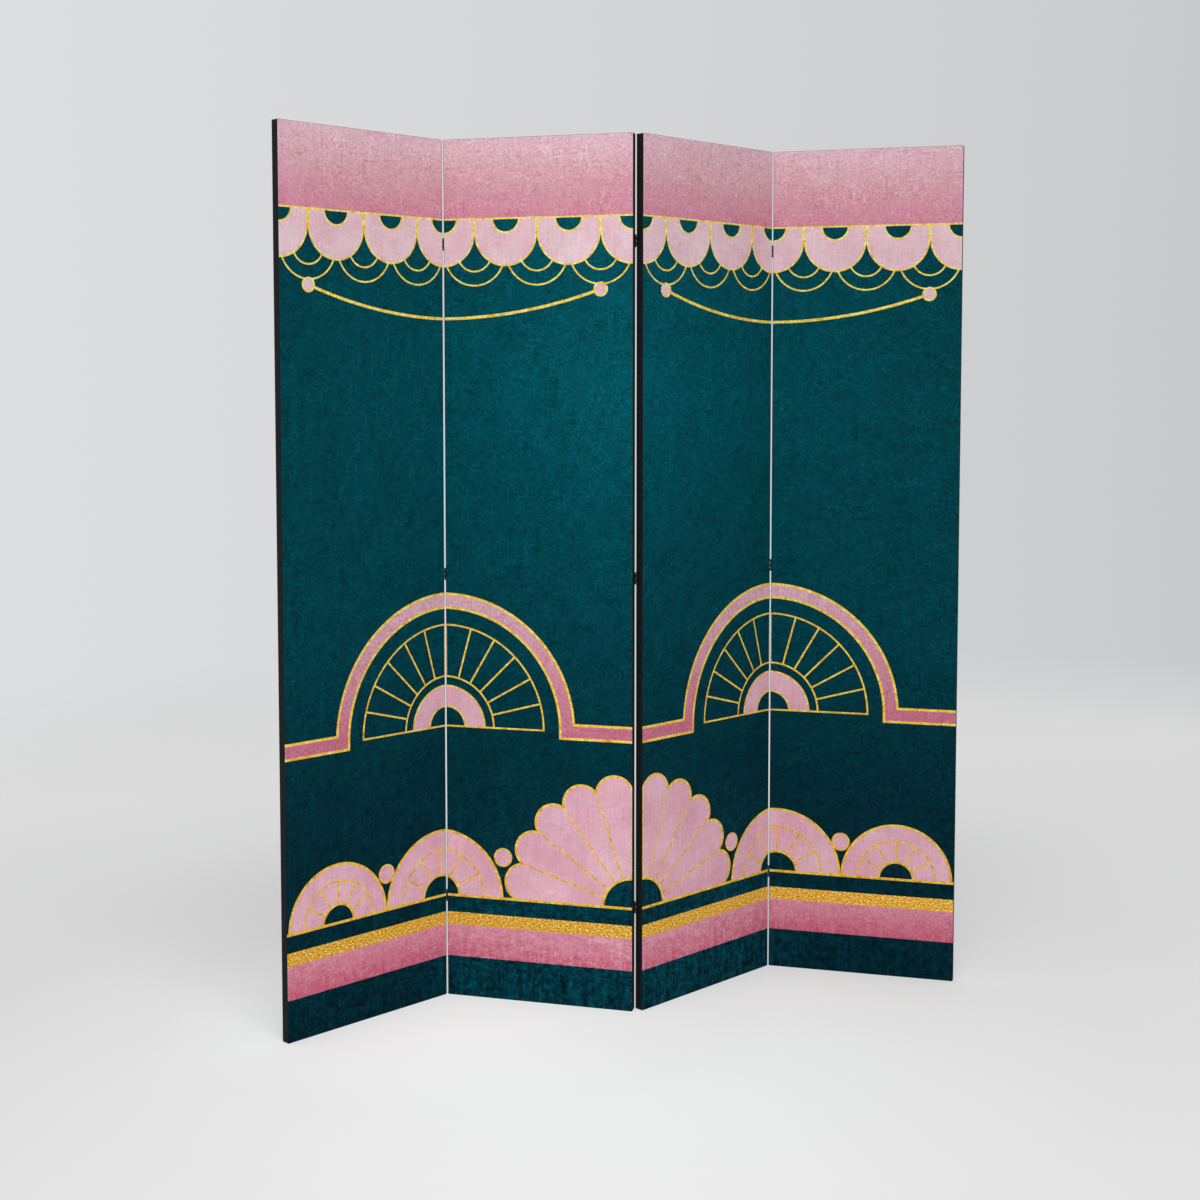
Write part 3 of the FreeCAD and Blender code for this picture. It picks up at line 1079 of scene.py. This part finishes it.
def pale_floor():
    """Pale matt paint, palest far from the screen, with painted light and shade, and gone at its rim.

    Round the screen's foot it is painted paler and a little cool, against the screen's shadow and
    the rose print's bounce. It is painted darker under the lamp, against its pool of light, and
    darker to the screen's sides, a painted shadow. A share of what the camera sees of it is a glow
    of painted light, paler to the front and brightest by the first fold, which keeps its shadows
    light.
    """
    material = new_material("pale_floor", 0.9)
    surface(material).inputs["Specular IOR Level"].default_value = 0.1
    place = add_node(material, "TexCoord").outputs["Object"]
    from_screen = measure(material, "DISTANCE", place, floor_paint_middle)
    share = calc(material, "DIVIDE", from_screen, floor_radius)
    # Painted light: the paint is paler and a little cool round the screen's foot, against its shadow
    # and the rose print's bounce.
    stops = [(0.35, "f8fdfe"), (0.60, "f1f3f3"), (0.95, "e7e7e7"), (1.30, "e6e6e6"),
             (1.90, "eff0f0"), (2.50, "f6f6f6"), (3.30, "f9f9f9")]
    base = ramp(material, share, [(reach / floor_radius, code) for reach, code in stops])
    axes = parted(material, place)
    # Painted shade: the floor is painted darker under the lamp, against its pool of light.
    painted_shade_under_lamp = level_between(material, axes[1], *floor_front, *floor_front_shades)
    # Painted shadow: the floor is painted darker to the screen's right and left, near it.
    painted_shadow_right = level_between(material, axes[0], *floor_right, *floor_right_painted_shadow)
    painted_shadow_left = level_between(material, axes[0], *floor_left, *floor_left_painted_shadow)
    near = level_between(material, axes[1], *floor_painted_shadow_depth)
    darker = calc(material, "MULTIPLY", calc(material, "ADD", painted_shadow_left, painted_shadow_right), near)
    sides = calc(material, "SUBTRACT", 1.0, darker)
    shade = calc(material, "MULTIPLY", painted_shade_under_lamp, sides)
    base = blend(material, 1.0, base, grey(material, shade), "MULTIPLY")
    join(material, base, "Base Color")
    # The camera's share is a glow of painted light, paler to the front and brightest by the first
    # fold, where it lifts the screen's shadow.
    plain = level_between(material, axes[1], *floor_glow_depth, *floor_glow_shades)
    from_fold = measure(material, "DISTANCE", place, floor_glow_middle)
    painted_light_near_fold = level_between(material, from_fold, *floor_fold_reach, *floor_fold_painted_light)
    plain = calc(material, "MULTIPLY", calc(material, "MULTIPLY", plain, sides), painted_light_near_fold)
    glow = add_node(material, "Emission", {"Color": grey(material, plain)})
    glow_share = calc(material, "MULTIPLY", seen_rays(material), floor_glow_share)
    lit = add_node(material, "MixShader", {0: glow_share, 1: surface(material).outputs[0],
                                           2: glow.outputs[0]})
    from_middle = measure(material, "DISTANCE", place, floor_fade_middle)
    fade = level_between(material, from_middle, *floor_fade_reach)
    clear = add_node(material, "BsdfTransparent")
    both = add_node(material, "MixShader", {0: fade, 1: lit.outputs[0], 2: clear.outputs[0]})
    tree = material.node_tree
    tree.links.new(both.outputs[0], tree.nodes["Material Output"].inputs["Surface"])
    return material


points = [(0, 0, -floor_drop)]
faces = []
for ring in range(1, floor_ring_count + 1):
    for sector in range(floor_sector_count):
        angle = 2 * math.pi * sector / floor_sector_count
        reach = floor_radius * ring / floor_ring_count
        points.append((*around((0, 0), reach, angle), -floor_drop))
for sector in range(floor_sector_count):
    after = (sector + 1) % floor_sector_count
    faces.append((0, 1 + sector, 1 + after))
    for ring in range(floor_ring_count - 1):
        inner = 1 + ring * floor_sector_count
        outer = inner + floor_sector_count
        faces.append((inner + sector, outer + sector, outer + after, inner + after))
mesh = bpy.data.meshes.new("floor")
mesh.from_pydata(points, [], faces)
floor = bpy.data.objects.new("floor", mesh)
floor.data.materials.append(pale_floor())
bpy.context.scene.collection.objects.link(floor)

# Studio light. An even light from all round, more of it from the left, and one large soft lamp
# overhead in front of the screen. The backdrop beyond the floor is a pale grey with painted shade,
# a little darker to the right, as if the light from the left fell off.
room_light = 0.49
left_light = 0.42
left_light_from = (-0.90, -0.30, 0.30)
backdrop_right = (0.97, -0.24, 0)
backdrop_change = (-0.30, 0.42)
lamp_power = 138
lamp_size = 1.8
lamp_place = Vector((-0.3, -2.4, 5.2))

world = bpy.data.worlds.new("studio")
bpy.context.scene.world = world
world.use_nodes = True
direction = add_node(world, "TexCoord").outputs["Generated"]
sideways = measure(world, "DOT_PRODUCT", direction, backdrop_right)
side_share = level_between(world, sideways, *backdrop_change)
# Painted shade: the backdrop is darker to the right.
backdrop = ramp(world, side_share, [(0.0, "dcdddf"), (0.5, "d3d4d6"), (1.0, "c5c7ca")])
from_left = measure(world, "DOT_PRODUCT", direction, left_light_from)
glow = calc(world, "MULTIPLY", calc(world, "MAXIMUM", from_left, 0.0), left_light)
glow = grey(world, calc(world, "ADD", glow, room_light))
light = blend(world, seen_rays(world), glow, backdrop)
background = world.node_tree.nodes["Background"]
world.node_tree.links.new(light, background.inputs["Color"])

lamp = bpy.data.lights.new("soft_lamp", "AREA")
lamp.energy = lamp_power
lamp.size = lamp_size
soft_lamp = bpy.data.objects.new("soft_lamp", lamp)
soft_lamp.location = lamp_place
soft_lamp.visible_camera = False
bpy.context.scene.collection.objects.link(soft_lamp)

# Camera. It stands about a metre left of the screen's middle, three and a half metres before it
# and 1.27 m up, and looks a little down. Its lens and film are given in millimetres.
camera_place = (-0.961, -3.462, 1.271)
camera_turn = math.radians(-14.74)
camera_tilt = math.radians(-3.76)
camera_lens = 52.16
camera_shift = -0.080
film_width = 36

camera = bpy.data.objects.new("camera", bpy.data.cameras.new("camera"))
camera.data.lens = camera_lens
camera.data.sensor_width = film_width
camera.data.shift_y = camera_shift
camera.location = camera_place
camera.rotation_euler = (math.pi / 2 + camera_tilt, 0, camera_turn)
bpy.context.scene.collection.objects.link(camera)
bpy.context.scene.camera = camera
bpy.context.scene.view_settings.view_transform = "Standard"
